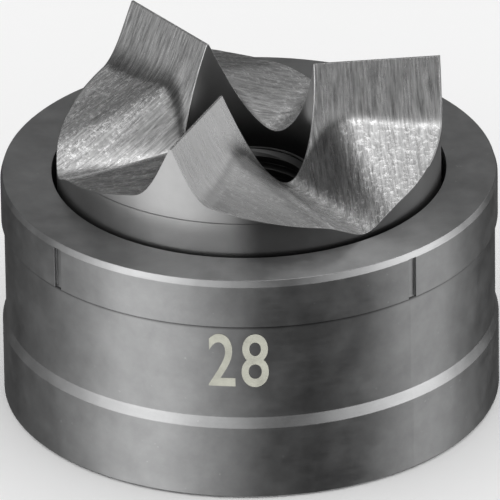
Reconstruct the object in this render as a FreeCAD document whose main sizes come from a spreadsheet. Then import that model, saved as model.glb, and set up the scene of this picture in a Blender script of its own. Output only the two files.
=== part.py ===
import FreeCAD, Part
import math
import os

import Sketcher
from FreeCAD import Vector

# Sheet metal hole punch: a cup-shaped die and a three-toothed punch.
# The die stands on its base. The punch sits in the die's bore with its teeth up.
# All sizes are in millimetres, and all angles are in degrees.
# The origin is the centre of the die's bottom face, and +Z points up.

SIZES = {
    # Die, from its bottom up
    "die_height": (17.7, "overall height of the die"),
    "base_thickness": (5.0, "floor of the cup"),
    "lower_diameter": (36.5, "lower body of the die"),
    "neck_diameter": (35.98, "recessed neck that carries the marking"),
    "band_diameter": (36.4, "band around the cutting rim"),
    "band_height": (3.7, "height of the band"),
    "shoulder_height": (6.16, "middle of the shoulder between lower body and neck"),
    "shoulder_rise": (0.8, "height of the sloping shoulder"),
    "rim_chamfer_height": (0.49, "steep chamfer around the rim, along the axis"),
    "rim_chamfer_width": (0.15, "the same chamfer, along the radius"),
    "base_edge": (0.2, "broken outer edge of the base"),
    "floor_edge": (0.35, "chamfer between the bore and the floor of the cup"),
    "slot_width": (0.7, "upright locating slot in the band"),
    "slot_count": (4, "slots spaced evenly around the band"),
    "slot_angle": (-50.0, "direction of the first slot, from +X"),
    # Punch, from its back face up
    "punch_height": (20.8, "back face to tooth edge"),
    "punch_diameter": (28.3, "cutting land, which is the size of the hole it makes"),
    "shear_clearance": (0.3, "gap between the land and the die's bore"),
    "shank_relief": (0.08, "radial relief below the land"),
    "land_height": (5.5, "length of the land, measured down from the tooth edge"),
    "back_edge": (0.6, "chamfer around the back face"),
    "tooth_count": (3, "teeth, with one gullet between each two"),
    "tooth_angle": (6.5, "direction of the first tooth, from +X"),
    "tooth_edge": (0.16, "width of the edge on top of each tooth"),
    "flank_angle": (65.0, "slope of a tooth's flank"),
    "foot_blend": (2.0, "height over which flank and bench run into each other, at the land"),
    "inner_foot_blend": (1.0, "the same height at the bore"),
    "bench_angle": (16.4, "slope of the bench at the foot of the flank"),
    "bench_depth": (4.12, "tooth edge down to where flank and bench would meet, at the land"),
    "bench_rise": (1.2, "how much higher the bench lies at the bore than at the land"),
    "bench_blend": (0.6, "height over which two neighbouring benches run into each other"),
    "valley_angle": (52.0, "slope of the valley's sides, square to its length"),
    "valley_radius": (1.1, "rounding along the bottom of the valley"),
    "valley_depth": (7.3, "tooth edge down to the valley's bottom, at the punch's axis"),
    "valley_fall": (1.0, "slope of the valley's bottom, outwards"),
    "valley_blend": (2.2, "height over which valley and bench run into each other"),
    "surface_step": (0.5, "spacing of the points that carry a gullet's surface"),
    # Draw stud passage through both pieces
    "thread_diameter": (9.525, "outer diameter of the stud's thread"),
    "thread_inner_diameter": (8.62, "inner diameter of the thread, near the top of its tolerance"),
    "thread_pitch": (1.0583, "24 turns to the inch"),
    "thread_start": (1.0, "where the thread groove starts below the back face, in turns"),
    "thread_ends": (8.85, "plain bore above the thread, measured down from the tooth edge"),
    "thread_lead_in": (0.75, "chamfer at the thread's lower end"),
    "punch_bore_clearance": (0.06, "gap between the stud and the plain bore"),
    "die_bore_clearance": (0.25, "gap between the stud and the hole in the die's base"),
    "die_bore_edge": (0.4, "chamfer at each end of the hole in the die's base"),
}

# Lengths that follow from the sizes, as expressions
DIE_TOP = "Sizes.die_height"
BAND_BOTTOM = "(Sizes.die_height - Sizes.band_height)"
CHAMFER_BOTTOM = "(Sizes.die_height - Sizes.rim_chamfer_height)"
CUP_FLOOR = "Sizes.base_thickness"
LOWER_RADIUS = "(Sizes.lower_diameter / 2)"
NECK_RADIUS = "(Sizes.neck_diameter / 2)"
BAND_RADIUS = "(Sizes.band_diameter / 2)"
BORE_RADIUS = "(Sizes.punch_diameter / 2 + Sizes.shear_clearance)"
STUD_HOLE_RADIUS = "(Sizes.thread_diameter / 2 + Sizes.die_bore_clearance)"

TOOTH_TOP = "Sizes.punch_height"
LAND_RADIUS = "(Sizes.punch_diameter / 2)"
SHANK_RADIUS = "(Sizes.punch_diameter / 2 - Sizes.shank_relief)"
LAND_BOTTOM = "(Sizes.punch_height - Sizes.land_height)"
PLAIN_BORE_RADIUS = "(Sizes.thread_diameter / 2 + Sizes.punch_bore_clearance)"
THREAD_TOP = "(Sizes.punch_height - Sizes.thread_ends)"
THREAD_RADIUS = "(Sizes.thread_inner_diameter / 2)"


# Document helpers

def write_sheet(doc):
    """Put every size into a sheet cell of its own, under its own name."""
    sheet = doc.addObject("Spreadsheet::Sheet", "Sizes")
    for row, (name, (value, meaning)) in enumerate(SIZES.items(), start=1):
        sheet.set(f"A{row}", name)
        sheet.set(f"B{row}", str(value))
        sheet.set(f"C{row}", meaning)
        sheet.setAlias(f"B{row}", name)
    doc.recompute()
    return sheet


def origin_feature(body, role):
    """The body's own origin plane or axis, such as XY_Plane or Z_Axis."""
    for feature in body.Origin.OriginFeatures:
        if feature.Role == role:
            return feature
    raise RuntimeError(f"{body.Label} has no {role}")


def new_sketch(body, name, plane, offset=None):
    """An empty sketch on one of the body's origin planes, moved along its normal."""
    sketch = body.newObject("Sketcher::SketchObject", name)
    sketch.AttachmentSupport = [(origin_feature(body, plane), "")]
    sketch.MapMode = "FlatFace"
    if offset is not None:
        sketch.setExpression("AttachmentOffset.Base.z", offset)
    return sketch


def place_point(sketch, edge, end, across, up):
    """Fix one end of an edge at a place given by two expressions."""
    for kind, axis, expression in (("DistanceX", -2, across), ("DistanceY", -1, up)):
        if expression == "0":
            sketch.addConstraint(Sketcher.Constraint("PointOnObject", edge, end, axis))
            continue
        constraint = Sketcher.Constraint(kind, -1, 1, edge, end, 1.0)
        number = sketch.addConstraint(constraint)
        sketch.setExpression(f"Constraints[{number}]", expression)


def outline(body, name, plane, corners, offset=None):
    """A closed outline of straight lines through corners given as expressions."""
    sketch = new_sketch(body, name, plane, offset)
    count = len(corners)
    turn = 2 * math.pi / count
    start = [Vector(math.cos(turn * step), math.sin(turn * step), 0) for step in range(count)]
    for step in range(count):
        sketch.addGeometry(Part.LineSegment(start[step], start[(step + 1) % count]), False)
    for step in range(count):
        following = (step + 1) % count
        sketch.addConstraint(Sketcher.Constraint("Coincident", step, 2, following, 1))
    for step, (across, up) in enumerate(corners):
        place_point(sketch, step, 1, across, up)
    return sketch


def revolve(body, name, sketch):
    """Turn an outline once around the body's upright axis."""
    feature = body.newObject("PartDesign::Revolution", name)
    feature.Profile = sketch
    feature.ReferenceAxis = (sketch, ["V_Axis"])
    feature.Angle = 360.0
    return feature


def repeat_around(body, name, originals, count):
    """Repeat cuts evenly around the body's upright axis."""
    pattern = body.newObject("PartDesign::PolarPattern", name)
    pattern.Originals = originals
    pattern.Axis = (origin_feature(body, "Z_Axis"), [""])
    pattern.Angle = 360.0
    pattern.setExpression("Occurrences", count)
    body.Tip = pattern
    return pattern


# Die

def make_die(doc):
    """Cup with a plain bore, a rim band, a recessed neck and a hole in its base."""
    body = doc.addObject("PartDesign::Body", "Die")
    body.Label = "die"

    half_shoulder = "Sizes.shoulder_rise / 2"
    section = outline(body, "DieSection", "XZ_Plane", [
        (f"{STUD_HOLE_RADIUS} + Sizes.die_bore_edge", "0"),
        (f"{LOWER_RADIUS} - Sizes.base_edge", "0"),
        (LOWER_RADIUS, "Sizes.base_edge"),
        (LOWER_RADIUS, f"Sizes.shoulder_height - {half_shoulder}"),
        (NECK_RADIUS, f"Sizes.shoulder_height + {half_shoulder}"),
        (NECK_RADIUS, BAND_BOTTOM),
        (BAND_RADIUS, BAND_BOTTOM),
        (BAND_RADIUS, CHAMFER_BOTTOM),
        (f"{BAND_RADIUS} - Sizes.rim_chamfer_width", DIE_TOP),
        (BORE_RADIUS, DIE_TOP),
        (BORE_RADIUS, f"{CUP_FLOOR} + Sizes.floor_edge"),
        (f"{BORE_RADIUS} - Sizes.floor_edge", CUP_FLOOR),
        (f"{STUD_HOLE_RADIUS} + Sizes.die_bore_edge", CUP_FLOOR),
        (STUD_HOLE_RADIUS, f"{CUP_FLOOR} - Sizes.die_bore_edge"),
        (STUD_HOLE_RADIUS, "Sizes.die_bore_edge"),
    ])
    revolve(body, "DieTurned", section)

    half_width = "Sizes.slot_width / 2"
    past_band = f"{BAND_RADIUS} + Sizes.slot_width"
    slot = outline(body, "SlotOutline", "XY_Plane", [
        (NECK_RADIUS, f"-{half_width}"),
        (past_band, f"-{half_width}"),
        (past_band, half_width),
        (NECK_RADIUS, half_width),
    ], offset=BAND_BOTTOM)
    pocket = body.newObject("PartDesign::Pocket", "Slot")
    pocket.Profile = slot
    pocket.Reversed = True
    pocket.setExpression("Length", "Sizes.band_height - Sizes.rim_chamfer_height")
    repeat_around(body, "Slots", [pocket], "Sizes.slot_count")

    body.setExpression("Placement.Rotation.Angle", "Sizes.slot_angle * 1 deg")
    return body


# Punch

def smooth_min(first, second, reach):
    """The smaller of two values, blended where they differ by less than the reach."""
    overlap = max(reach - abs(first - second), 0) / reach
    return min(first, second) - overlap ** 2 * reach / 4


def smooth_max(first, second, reach):
    return -smooth_min(-first, -second, reach)


def gullet_depth(sheet, outward, across):
    """Depth of a gullet's surface below the tooth edge.

    The place is given along the gullet's middle line and square to it. Each gullet lies
    between two teeth: both flanks, a bench at each flank's foot, and a valley between them.
    """
    half_sector = math.pi / sheet.tooth_count
    flank, bench, valley, fall = (
        math.tan(math.radians(angle))
        for angle in (sheet.flank_angle, sheet.bench_angle, sheet.valley_angle, sheet.valley_fall)
    )
    across = abs(across)
    near_tooth = outward * math.sin(half_sector) - across * math.cos(half_sector)
    far_tooth = outward * math.sin(half_sector) + across * math.cos(half_sector)
    land_radius = sheet.punch_diameter / 2
    bore_radius = sheet.thread_diameter / 2 + sheet.punch_bore_clearance
    inward = (land_radius - math.hypot(outward, across)) / (land_radius - bore_radius)
    inward = min(max(inward, 0), 1)

    half_edge = sheet.tooth_edge / 2
    foot = half_edge + sheet.bench_depth / flank
    flank_depth = (near_tooth - half_edge) * flank
    near_bench, far_bench = (
        sheet.bench_depth + (distance - foot) * bench for distance in (near_tooth, far_tooth)
    )
    bench_depth = smooth_min(near_bench, far_bench, sheet.bench_blend)
    bench_depth -= sheet.bench_rise * inward ** 2

    rounding = sheet.valley_radius * valley
    from_middle = math.hypot(across, rounding) - rounding
    valley_depth = sheet.valley_depth + outward * fall - from_middle * valley

    floor_depth = smooth_max(bench_depth, valley_depth, sheet.valley_blend)
    foot_blend = sheet.foot_blend + (sheet.inner_foot_blend - sheet.foot_blend) * inward
    return smooth_min(flank_depth, floor_depth, foot_blend)


def spaced(first, last, step):
    """Evenly spaced values from first to last, at most a step apart."""
    count = math.ceil((last - first) / step)
    return [first + (last - first) * number / count for number in range(count + 1)]


def gullet_cutter(sheet):
    """Solid above one gullet's free-form surface, with the gullet's middle line along +X.

    The surface runs through a grid of points, from inside the bore to outside the land, and
    past both teeth, where it rises clear of the punch.
    """
    half_sector = math.pi / sheet.tooth_count
    land_radius = sheet.punch_diameter / 2
    bore_radius = sheet.thread_diameter / 2 + sheet.punch_bore_clearance
    step = sheet.surface_step
    half_width = land_radius * math.sin(half_sector) + step
    outwards = spaced(bore_radius * math.cos(half_sector) - step, land_radius + step, step)
    widths = spaced(-half_width, half_width, step)
    rows = []
    for outward in outwards:
        heights = [sheet.punch_height - gullet_depth(sheet, outward, across) for across in widths]
        rows.append([Vector(outward, *place) for place in zip(widths, heights)])
    surface = Part.BSplineSurface()
    surface.interpolate(rows)
    return surface.toShape().extrude(Vector(0, 0, sheet.punch_height))


def make_gullets(doc, sheet):
    """The spaces between the teeth, spaced evenly around the axis."""
    gullets = doc.addObject("Part::Feature", "Gullets")
    cutter = gullet_cutter(sheet)
    around = []
    for number in range(int(sheet.tooth_count)):
        copy = cutter.copy()
        turn = 360 * (number + 0.5) / sheet.tooth_count
        copy.rotate(Vector(0, 0, 0), Vector(0, 0, 1), turn)
        around.append(copy)
    gullets.Shape = Part.makeCompound(around)
    return gullets


def make_blank(doc):
    """Turned blank of the punch, with its bore and stud thread, before the teeth are cut."""
    body = doc.addObject("PartDesign::Body", "Blank")
    section = outline(body, "BlankSection", "XZ_Plane", [
        (f"{THREAD_RADIUS} + Sizes.thread_lead_in", "0"),
        (f"{SHANK_RADIUS} - Sizes.back_edge", "0"),
        (SHANK_RADIUS, "Sizes.back_edge"),
        (SHANK_RADIUS, f"{LAND_BOTTOM} - Sizes.shank_relief"),
        (LAND_RADIUS, LAND_BOTTOM),
        (LAND_RADIUS, TOOTH_TOP),
        (PLAIN_BORE_RADIUS, TOOTH_TOP),
        (PLAIN_BORE_RADIUS, THREAD_TOP),
        (THREAD_RADIUS, f"{THREAD_TOP} - ({PLAIN_BORE_RADIUS} - {THREAD_RADIUS})"),
        (THREAD_RADIUS, "Sizes.thread_lead_in"),
    ])
    revolve(body, "BlankTurned", section)

    # Thread groove, from below the back face into the plain bore
    inside = "Sizes.thread_lead_in / 4"
    root = "(Sizes.thread_pitch / 16)"
    start = "-(Sizes.thread_start * Sizes.thread_pitch)"
    depth = f"(Sizes.thread_diameter / 2 - {THREAD_RADIUS} + {inside})"
    mouth = f"({root} + {depth} * tan(30 deg))"
    groove = outline(body, "GrooveSection", "XZ_Plane", [
        (f"{THREAD_RADIUS} - {inside}", f"{start} - {mouth}"),
        ("Sizes.thread_diameter / 2", f"{start} - {root}"),
        ("Sizes.thread_diameter / 2", f"{start} + {root}"),
        (f"{THREAD_RADIUS} - {inside}", f"{start} + {mouth}"),
    ])
    thread = body.newObject("PartDesign::SubtractiveHelix", "Thread")
    thread.Profile = groove
    thread.ReferenceAxis = (groove, ["V_Axis"])
    thread.Mode = 0
    thread.setExpression("Pitch", "Sizes.thread_pitch")
    thread.setExpression("Height", f"{THREAD_TOP} + (Sizes.thread_start + 1) * Sizes.thread_pitch")
    body.Tip = thread
    return body


def make_punch(doc, sheet):
    """Round punch with three straight-edged teeth, a plain bore and a stud thread."""
    punch = doc.addObject("Part::Cut", "Punch")
    punch.Label = "punch"
    punch.Base = make_blank(doc)
    punch.Tool = make_gullets(doc, sheet)
    punch.setExpression("Placement.Rotation.Angle", "Sizes.tooth_angle * 1 deg")
    punch.setExpression("Placement.Base.z", CUP_FLOOR)
    return punch


# Whole part

def check(doc, parts):
    """Stop if any object failed, or if a piece isn't one valid solid."""
    for item in doc.Objects:
        if "Invalid" in item.State or "Error" in item.State:
            raise RuntimeError(f"{item.Name} failed: {item.State}")
    for part in parts:
        if part.Shape.isNull() or not part.Shape.isValid():
            raise RuntimeError(f"{part.Label} has no valid shape")
        if len(part.Shape.Solids) != 1:
            raise RuntimeError(f"{part.Label} has {len(part.Shape.Solids)} solids")


def main():
    doc = FreeCAD.newDocument("HolePunch")
    sheet = write_sheet(doc)
    parts = [make_die(doc), make_punch(doc, sheet)]
    doc.recompute()
    check(doc, parts)
    os.makedirs("parts", exist_ok=True)
    for part in parts:
        part.Shape.exportStep(f"parts/{part.Label}.step")
        print(part.Label, "volume", round(part.Shape.Volume, 3))


main()
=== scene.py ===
import math

import bmesh
import bpy
from mathutils import Matrix, Vector


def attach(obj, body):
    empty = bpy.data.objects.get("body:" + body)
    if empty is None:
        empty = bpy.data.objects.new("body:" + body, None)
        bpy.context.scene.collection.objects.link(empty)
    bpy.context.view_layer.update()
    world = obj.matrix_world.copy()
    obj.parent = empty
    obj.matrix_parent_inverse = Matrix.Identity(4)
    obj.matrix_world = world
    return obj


# Sheet metal hole punch: cup-shaped die with a three-toothed punch standing in it, teeth up.
# Everything is in metres, in the frame of the loaded model.

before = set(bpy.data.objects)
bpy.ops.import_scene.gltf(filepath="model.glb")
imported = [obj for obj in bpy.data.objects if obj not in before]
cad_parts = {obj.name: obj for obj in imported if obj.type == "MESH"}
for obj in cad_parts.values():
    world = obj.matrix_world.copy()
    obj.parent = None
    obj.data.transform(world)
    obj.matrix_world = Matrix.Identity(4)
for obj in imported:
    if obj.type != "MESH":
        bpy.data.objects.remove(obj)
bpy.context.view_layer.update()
MM = 0.001

# Sizes of the loaded model that the looks follow
DIE_HEIGHT = 17.7 * MM
BAND_BOTTOM = 14.0 * MM
NECK_RADIUS = 17.99 * MM
BAND_RADIUS = 18.2 * MM
LAND_RADIUS = 14.15 * MM
BORE_RADIUS = 4.82 * MM
TOOTH_COUNT = 3
TOOTH_ANGLE = 6.5
FRONT_TOOTH_ANGLE = TOOTH_ANGLE - 360 / TOOTH_COUNT


# Node helpers

def node(tree, kind, values=None, **settings):
    """A node with its settings, its constant inputs and the links into it."""
    made = tree.nodes.new(kind)
    for name, value in settings.items():
        setattr(made, name, value)
    for name, value in (values or {}).items():
        socket = made.inputs[name]
        if isinstance(value, bpy.types.NodeSocket):
            tree.links.new(value, socket)
        else:
            socket.default_value = value
    return made


def math_node(tree, operation, *values):
    made = node(tree, "ShaderNodeMath", dict(enumerate(values)), operation=operation)
    return made.outputs["Value"]


def add(tree, *values):
    total = values[0]
    for value in values[1:]:
        total = math_node(tree, "ADD", total, value)
    return total


def multiply(tree, *values):
    product = values[0]
    for value in values[1:]:
        product = math_node(tree, "MULTIPLY", product, value)
    return product


def swing(tree, texture, amount):
    """A texture of 0 to 1 turned into a swing around zero, amount wide in all."""
    return multiply(tree, math_node(tree, "SUBTRACT", texture, 0.5), amount)


def darken(tree, value, where, share):
    """The value, less its given share where the mask is 1."""
    return multiply(tree, value, math_node(tree, "SUBTRACT", 1.0, multiply(tree, where, share)))


def remap(tree, value, low, high, to_high=1.0):
    """Rise smoothly from 0 at the low value to to_high at the high one."""
    made = node(tree, "ShaderNodeMapRange", {
        "Value": value, "From Min": low, "From Max": high, "To Max": to_high,
    }, interpolation_type="SMOOTHSTEP")
    return made.outputs["Result"]


def combine(tree, x, y, z):
    return node(tree, "ShaderNodeCombineXYZ", {"X": x, "Y": y, "Z": z}).outputs["Vector"]


def noise(tree, vector, scale, detail=3.0, roughness=0.5, distortion=0.0):
    made = node(tree, "ShaderNodeTexNoise", {
        "Vector": vector, "Scale": scale, "Detail": detail,
        "Roughness": roughness, "Distortion": distortion,
    })
    return made.outputs["Fac"]


def blend(tree, amount, first, second):
    """Blend between two numbers or number sockets."""
    made = node(tree, "ShaderNodeMix", {"Factor": amount, "A": first, "B": second})
    return made.outputs["Result"]


def grey(tree, value, warmth=1.0):
    """A grey colour with a slight tint."""
    return node(tree, "ShaderNodeCombineColor", {
        "Red": multiply(tree, value, warmth),
        "Green": value,
        "Blue": math_node(tree, "DIVIDE", value, warmth),
    }).outputs["Color"]


def new_material(name):
    material = bpy.data.materials.new(name)
    material.use_nodes = True
    tree = material.node_tree
    tree.nodes.clear()
    return material, tree


def finish_material(tree, color, metallic, roughness, height, depth, edge=0.06 * MM):
    """Principled surface with bumps of the given depth on softly rounded edges."""
    rounded = node(tree, "ShaderNodeBevel", {"Radius": edge}, samples=6)
    bump = node(tree, "ShaderNodeBump", {
        "Height": height, "Distance": depth, "Strength": 1.0, "Normal": rounded.outputs["Normal"],
    })
    surface = node(tree, "ShaderNodeBsdfPrincipled", {
        "Base Color": color, "Metallic": metallic, "Roughness": roughness,
        "Normal": bump.outputs["Normal"],
    })
    node(tree, "ShaderNodeOutputMaterial", {"Surface": surface.outputs["BSDF"]})


def position(tree):
    """Place on the object, with its distance from the axis."""
    place = node(tree, "ShaderNodeTexCoord").outputs["Object"]
    parts = node(tree, "ShaderNodeSeparateXYZ", {"Vector": place})
    x, y, z = (parts.outputs[name] for name in "XYZ")
    across = math_node(tree, "SQRT", add(tree, multiply(tree, x, x), multiply(tree, y, y)))
    return place, x, y, z, across


def facing_up(tree):
    """How far the surface faces up, from -1 to 1."""
    facing = node(tree, "ShaderNodeNewGeometry").outputs["Normal"]
    return node(tree, "ShaderNodeSeparateXYZ", {"Vector": facing}).outputs["Z"]


# Materials

def die_material():
    """Dark satin steel: turned all over, slightly mottled and lightly worn, with a painted highlight
    on the rim and painted shade under the band.
    """
    material, tree = new_material("die_satin_steel")
    place, x, y, z, across = position(tree)
    flat = remap(tree, math_node(tree, "ABSOLUTE", facing_up(tree)), 0.5, 0.8)

    # Fine turning rings: along the height on walls, along the radius on flat faces
    feed = blend(tree, flat, z, across)
    rings = noise(tree, combine(tree, feed, 0.0, 0.0), 9000.0, 4.0, 0.7)
    stretched = combine(tree, multiply(tree, x, 0.15), multiply(tree, y, 0.15), feed)
    swirl = noise(tree, stretched, 2600.0, 3.0, 0.6)
    mottle = noise(tree, place, 420.0, 5.0, 0.62)
    patches = noise(tree, place, 130.0, 3.0, 0.5, 0.4)
    speck = remap(tree, noise(tree, place, 2400.0, 2.0, 0.5), 0.72, 0.8)

    shade = add(tree, 0.35, swing(tree, mottle, 0.22), swing(tree, patches, 0.14),
                multiply(tree, speck, 0.10))
    rough = add(tree, 0.36, swing(tree, mottle, 0.18), swing(tree, swirl, 0.10))
    # Painted highlight: the flat rim's colour is lighter at the front right and a little darker
    # elsewhere, standing in for light caught by its turning rings
    toward_light = add(tree, multiply(tree, x, 0.26), multiply(tree, y, -0.97))
    toward_light = math_node(tree, "MAXIMUM", math_node(tree, "DIVIDE", toward_light, across), 0.0)
    rim_painted_highlight = multiply(tree, math_node(tree, "POWER", toward_light, 6.0), 0.85)
    rim_painted_highlight = multiply(tree, flat, math_node(tree, "SUBTRACT", rim_painted_highlight, 0.12))
    shade = multiply(tree, shade, add(tree, 1.0, rim_painted_highlight))
    # Painted shade: darker in the corner under the band, where the band's overhang shades the neck
    under = remap(tree, z, BAND_BOTTOM - 0.35 * MM, BAND_BOTTOM - 0.05 * MM)
    inside = remap(tree, across, NECK_RADIUS + 0.12 * MM, NECK_RADIUS + 0.05 * MM)
    below = math_node(tree, "LESS_THAN", z, BAND_BOTTOM + 0.02 * MM)
    shade = darken(tree, shade, multiply(tree, under, inside, below), 0.8)

    height = add(tree, rings, multiply(tree, mottle, 0.8))
    finish_material(tree, grey(tree, shade, 0.995), 1.0, rough, height, 0.004 * MM)
    return material


def tooth_directions(tree, x, y):
    """Distance along the nearest tooth's edge, and square to it."""
    spacing = 2 * math.pi / TOOTH_COUNT
    first = math.radians(TOOTH_ANGLE)
    heading = math_node(tree, "SUBTRACT", math_node(tree, "ARCTAN2", y, x), first)
    tooth = math_node(tree, "ROUND", math_node(tree, "DIVIDE", heading, spacing))
    turn = add(tree, multiply(tree, tooth, spacing), first)
    cosine = math_node(tree, "COSINE", turn)
    sine = math_node(tree, "SINE", turn)
    along = add(tree, multiply(tree, x, cosine), multiply(tree, y, sine))
    square = math_node(tree, "SUBTRACT", multiply(tree, y, cosine), multiply(tree, x, sine))
    return along, square


def punch_material():
    """Milled steel: scratches square to each tooth, and turning rings outside and in the bore."""
    material, tree = new_material("punch_milled_steel")
    place, x, y, z, across = position(tree)
    along, square = tooth_directions(tree, x, y)

    milled = combine(tree, along, multiply(tree, square, 0.09), multiply(tree, z, 0.09))
    scratches = noise(tree, milled, 5200.0, 5.0, 0.72)
    coarse = noise(tree, milled, 1500.0, 3.0, 0.6)
    steps = noise(tree, combine(tree, multiply(tree, along, 0.05), square, z), 1500.0, 3.0, 0.6)
    turned = noise(tree, combine(tree, 0.0, 0.0, z), 5200.0, 4.0, 0.65)
    mottle = noise(tree, place, 600.0, 5.0, 0.6)
    patches = noise(tree, place, 190.0, 3.0, 0.5, 0.4)

    # Benches are flatter than flanks and carry a rougher, dented texture; their colour is also
    # painted lighter where they face up, with painted glints on the dents
    bench = remap(tree, facing_up(tree), 0.72, 0.93)
    dents = noise(tree, place, 2700.0, 4.0, 0.7)
    glints = remap(tree, dents, 0.5, 0.72)
    # The front tooth's right-hand face is ground smoother than the rest
    angle = math_node(tree, "ARCTAN2", y, x)
    past_edge = math_node(tree, "GREATER_THAN", angle, math.radians(FRONT_TOOTH_ANGLE))
    ground = multiply(tree, remap(tree, angle, math.radians(-58), math.radians(-80)), past_edge)
    coarseness = math_node(tree, "SUBTRACT", 1.0, multiply(tree, ground, 0.8))

    outside = remap(tree, across, LAND_RADIUS - 0.12 * MM, LAND_RADIUS - 0.1 * MM)
    in_bore = remap(tree, across, BORE_RADIUS + 0.08 * MM, BORE_RADIUS + 0.03 * MM)
    round_wall = math_node(tree, "MAXIMUM", outside, in_bore)

    milled_height = add(tree, scratches, multiply(tree, coarse, 0.9), multiply(tree, steps, 0.5))
    milled_height = add(tree, multiply(tree, milled_height, 1.6),
                        multiply(tree, dents, bench, 3.0))
    milled_height = multiply(tree, milled_height, coarseness)
    turned_height = add(tree, multiply(tree, turned, 0.25), multiply(tree, mottle, 0.3))
    height = blend(tree, round_wall, milled_height, turned_height)

    # Painted light: the up-facing benches get a lighter colour and painted glints
    bench_painted_light = multiply(tree, add(tree, 0.12, multiply(tree, glints, 0.7)), bench)
    texture = multiply(tree, add(tree, swing(tree, scratches, 1.3), bench_painted_light), coarseness)
    shade = add(tree, 0.45, texture, swing(tree, patches, 0.16))
    # Painted shade: the bore's colour gets darker further down, where shade falls
    shade_starts, shade_full = 20.5 * MM, 17.5 * MM
    deep_bore_shade = multiply(tree, in_bore, remap(tree, z, shade_starts, shade_full))
    smooth_shade = darken(tree, add(tree, 0.42, swing(tree, mottle, 0.10)), deep_bore_shade, 0.75)
    # Painted shade: the wall above the rim is darker at the front right, standing in for a dark
    # reflection there
    above_rim = remap(tree, z, DIE_HEIGHT - 2.2 * MM, DIE_HEIGHT - 0.2 * MM)
    from_front = remap(tree, angle, math.radians(-98), math.radians(-86))
    to_right = remap(tree, angle, math.radians(-20), math.radians(-50))
    painted_dark_reflection = multiply(tree, outside, above_rim, from_front, to_right)
    smooth_shade = darken(tree, smooth_shade, painted_dark_reflection, 0.7)
    shade = blend(tree, round_wall, shade, smooth_shade)
    shade = math_node(tree, "MINIMUM", math_node(tree, "MAXIMUM", shade, 0.06), 0.95)
    rough = add(tree, 0.27, swing(tree, coarse, 0.22))
    rough = blend(tree, round_wall, rough, 0.34)
    finish_material(tree, grey(tree, shade, 1.0), 1.0, rough, height, 0.012 * MM)
    return material


def mark_material():
    """Pale frosted laser marking."""
    material, tree = new_material("pale_marking")
    place = node(tree, "ShaderNodeTexCoord").outputs["Object"]
    grain = noise(tree, place, 3500.0, 3.0, 0.6)
    wear = noise(tree, place, 900.0, 4.0, 0.6)
    shade = add(tree, 0.55, swing(tree, wear, 0.35))
    rough = add(tree, 0.75, swing(tree, grain, 0.3))
    pale = node(tree, "ShaderNodeCombineColor", {
        "Red": shade, "Green": shade, "Blue": multiply(tree, shade, 0.86)})
    finish_material(tree, pale.outputs["Color"], 0.1, rough, grain, 0.004 * MM, edge=0.01 * MM)
    return material


def floor_material():
    """Plain pale studio floor. The metal reflects the sky through it, except under the die."""
    material, tree = new_material("pale_floor")
    place, x, y, z, across = position(tree)
    shade = add(tree, 0.93, swing(tree, noise(tree, place, 60.0, 3.0, 0.5), 0.01))
    matt = node(tree, "ShaderNodeBsdfDiffuse", {"Color": grey(tree, shade), "Roughness": 0.3})
    clear = node(tree, "ShaderNodeBsdfTransparent")
    reflected = node(tree, "ShaderNodeLightPath").outputs["Is Glossy Ray"]
    open_floor = math_node(tree, "GREATER_THAN", across, BAND_RADIUS)
    mix = node(tree, "ShaderNodeMixShader", {
        0: multiply(tree, reflected, open_floor),
        1: matt.outputs["BSDF"], 2: clear.outputs["BSDF"]})
    node(tree, "ShaderNodeOutputMaterial", {"Surface": mix.outputs["Shader"]})
    return material


def dress(name, material):
    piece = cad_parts[name]
    if not piece.data.materials:
        piece.data.materials.append(material)
    for slot in piece.material_slots:
        slot.material = material


dress("die", die_material())
dress("punch", punch_material())


# Marking on the neck: the plain nominal size of the hole

def make_mark(text, name, centre_angle, height, low, squeeze):
    """Flat text cut into narrow strips and wrapped around the neck."""
    curve = bpy.data.curves.new(name, "FONT")
    curve.body = text
    curve.align_x = "CENTER"
    curve.space_character = 1.12
    curve.offset = 0.01
    flat = bpy.data.objects.new(name + "_outline", curve)
    bpy.context.scene.collection.objects.link(flat)
    bpy.context.view_layer.update()
    mesh = bpy.data.meshes.new_from_object(flat.evaluated_get(
        bpy.context.evaluated_depsgraph_get()))
    bpy.data.objects.remove(flat)

    shape = bmesh.new()
    shape.from_mesh(mesh)
    top = max(v.co.y for v in shape.verts)
    bottom = min(v.co.y for v in shape.verts)
    scale = height / (top - bottom)
    bmesh.ops.scale(shape, vec=(scale * squeeze, scale, 1.0), verts=shape.verts)
    left = min(v.co.x for v in shape.verts)
    right = max(v.co.x for v in shape.verts)
    strip = 0.3 * MM
    cut = left + strip
    while cut < right:
        everything = list(shape.verts) + list(shape.edges) + list(shape.faces)
        bmesh.ops.bisect_plane(shape, geom=everything, plane_co=(cut, 0, 0), plane_no=(1, 0, 0))
        cut += strip
    radius = NECK_RADIUS + 0.02 * MM
    lift = low - bottom * scale
    for vert in shape.verts:
        turn = math.radians(centre_angle) + vert.co.x / radius
        vert.co = Vector((radius * math.sin(turn), -radius * math.cos(turn), vert.co.y + lift))
    shape.to_mesh(mesh)
    shape.free()
    mark = bpy.data.objects.new(name, mesh)
    bpy.context.scene.collection.objects.link(mark)
    mark.data.materials.clear()
    mark.data.materials.append(mark_material())
    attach(mark, "die")


make_mark("28", "size_mark", centre_angle=-3.0, height=4.3 * MM, low=DIE_HEIGHT - 8.65 * MM,
          squeeze=0.72)


# Floor

def make_floor():
    mesh = bpy.data.meshes.new("floor")
    reach = 3.0
    mesh.from_pydata([(-reach, -reach, 0), (reach, -reach, 0), (reach, reach, 0), (-reach, reach, 0)],
                     [], [(0, 1, 2, 3)])
    floor = bpy.data.objects.new("floor", mesh)
    bpy.context.scene.collection.objects.link(floor)
    floor.location.z = -0.02 * MM
    floor.data.materials.append(floor_material())


make_floor()


# Soft studio light, as soft patches of sky. Angles: turn from the front towards +X, then height.

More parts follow.
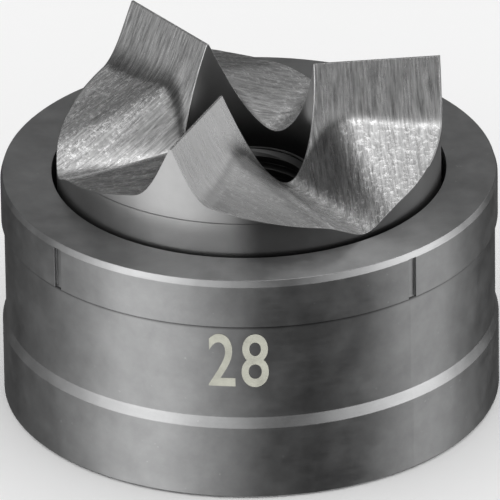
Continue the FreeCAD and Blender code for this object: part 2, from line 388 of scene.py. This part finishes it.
def direction(turn, elevation):
    turn, elevation = math.radians(turn), math.radians(elevation)
    return (math.sin(turn) * math.cos(elevation), -math.cos(turn) * math.cos(elevation),
            math.sin(elevation))


BASE_LIGHT = 0.06
FLOOR_LIGHT = 1.0
LIGHT_RINGS = [
    # elevation, full-strength half width, fade-out half width, strength at each turn
    (-27, 2, 26, {-110: 0.15, -75: 0.5, -50: 1.05, -25: 0.65, 85: 0.7, 110: 0.2}),
    (8, 2, 26, {-120: 0.3, -80: 0.85, -50: 2.75, -20: 1.4, 50: 1.25, 80: 2.7, 110: 0.85, 150: 0.2}),
    (42, 4, 34, {10: 0.4, 120: 0.5, 180: 0.2}),
    (75, 6, 34, {90: 0.95, 180: 0.5}),
]


def make_sky():
    """White for the camera, even light for the floor, and soft patches for the metal to reflect."""
    world = bpy.data.worlds.new("studio")
    bpy.context.scene.world = world
    world.use_nodes = True
    tree = world.node_tree
    tree.nodes.clear()
    toward = node(tree, "ShaderNodeTexCoord").outputs["Generated"]
    light = BASE_LIGHT
    for elevation, full, fade, strengths in LIGHT_RINGS:
        edge, middle = math.cos(math.radians(fade)), math.cos(math.radians(full))
        for turn, strength in strengths.items():
            along = node(tree, "ShaderNodeVectorMath", {0: toward, 1: direction(turn, elevation)},
                         operation="DOT_PRODUCT").outputs["Value"]
            light = add(tree, light, remap(tree, along, edge, middle, strength))
    path = node(tree, "ShaderNodeLightPath")
    even = node(tree, "ShaderNodeBackground", {"Color": (1, 1, 1, 1), "Strength": FLOOR_LIGHT})
    patchy = node(tree, "ShaderNodeBackground", {"Color": (1, 1, 1, 1), "Strength": light})
    mix = node(tree, "ShaderNodeMixShader", {
        0: path.outputs["Is Glossy Ray"],
        1: even.outputs["Background"], 2: patchy.outputs["Background"]})
    node(tree, "ShaderNodeOutputWorld", {"Surface": mix.outputs["Shader"]})


make_sky()


# Camera, at the photograph's place and with its long lens

def make_camera():
    pitch = 0.477789
    roll = -0.0133449
    focal_pixels = 12372.49
    picture_pixels = 500
    fitted_band_radius = 18.1 * MM
    fitted_distance = 801.97 * MM
    fitted_height = 408.47 * MM
    gauge = BAND_RADIUS / fitted_band_radius
    forward = Vector((0, math.cos(pitch), -math.sin(pitch)))
    up = Vector((0, math.sin(pitch), math.cos(pitch)))
    right = Vector((1, 0, 0))
    rolled_right = right * math.cos(roll) + up * math.sin(roll)
    rolled_up = up * math.cos(roll) - right * math.sin(roll)
    data = bpy.data.cameras.new("camera")
    data.sensor_width = 36.0
    data.lens = focal_pixels / picture_pixels * data.sensor_width
    data.clip_start = 0.1
    data.clip_end = 10.0
    camera = bpy.data.objects.new("camera", data)
    turned = Matrix((rolled_right, rolled_up, -forward)).transposed().to_4x4()
    eye = Vector((0, -fitted_distance * gauge, fitted_height * gauge + DIE_HEIGHT))
    camera.matrix_world = Matrix.Translation(eye) @ turned
    bpy.context.scene.collection.objects.link(camera)
    bpy.context.scene.camera = camera


make_camera()
bpy.context.scene.view_settings.view_transform = "Standard"
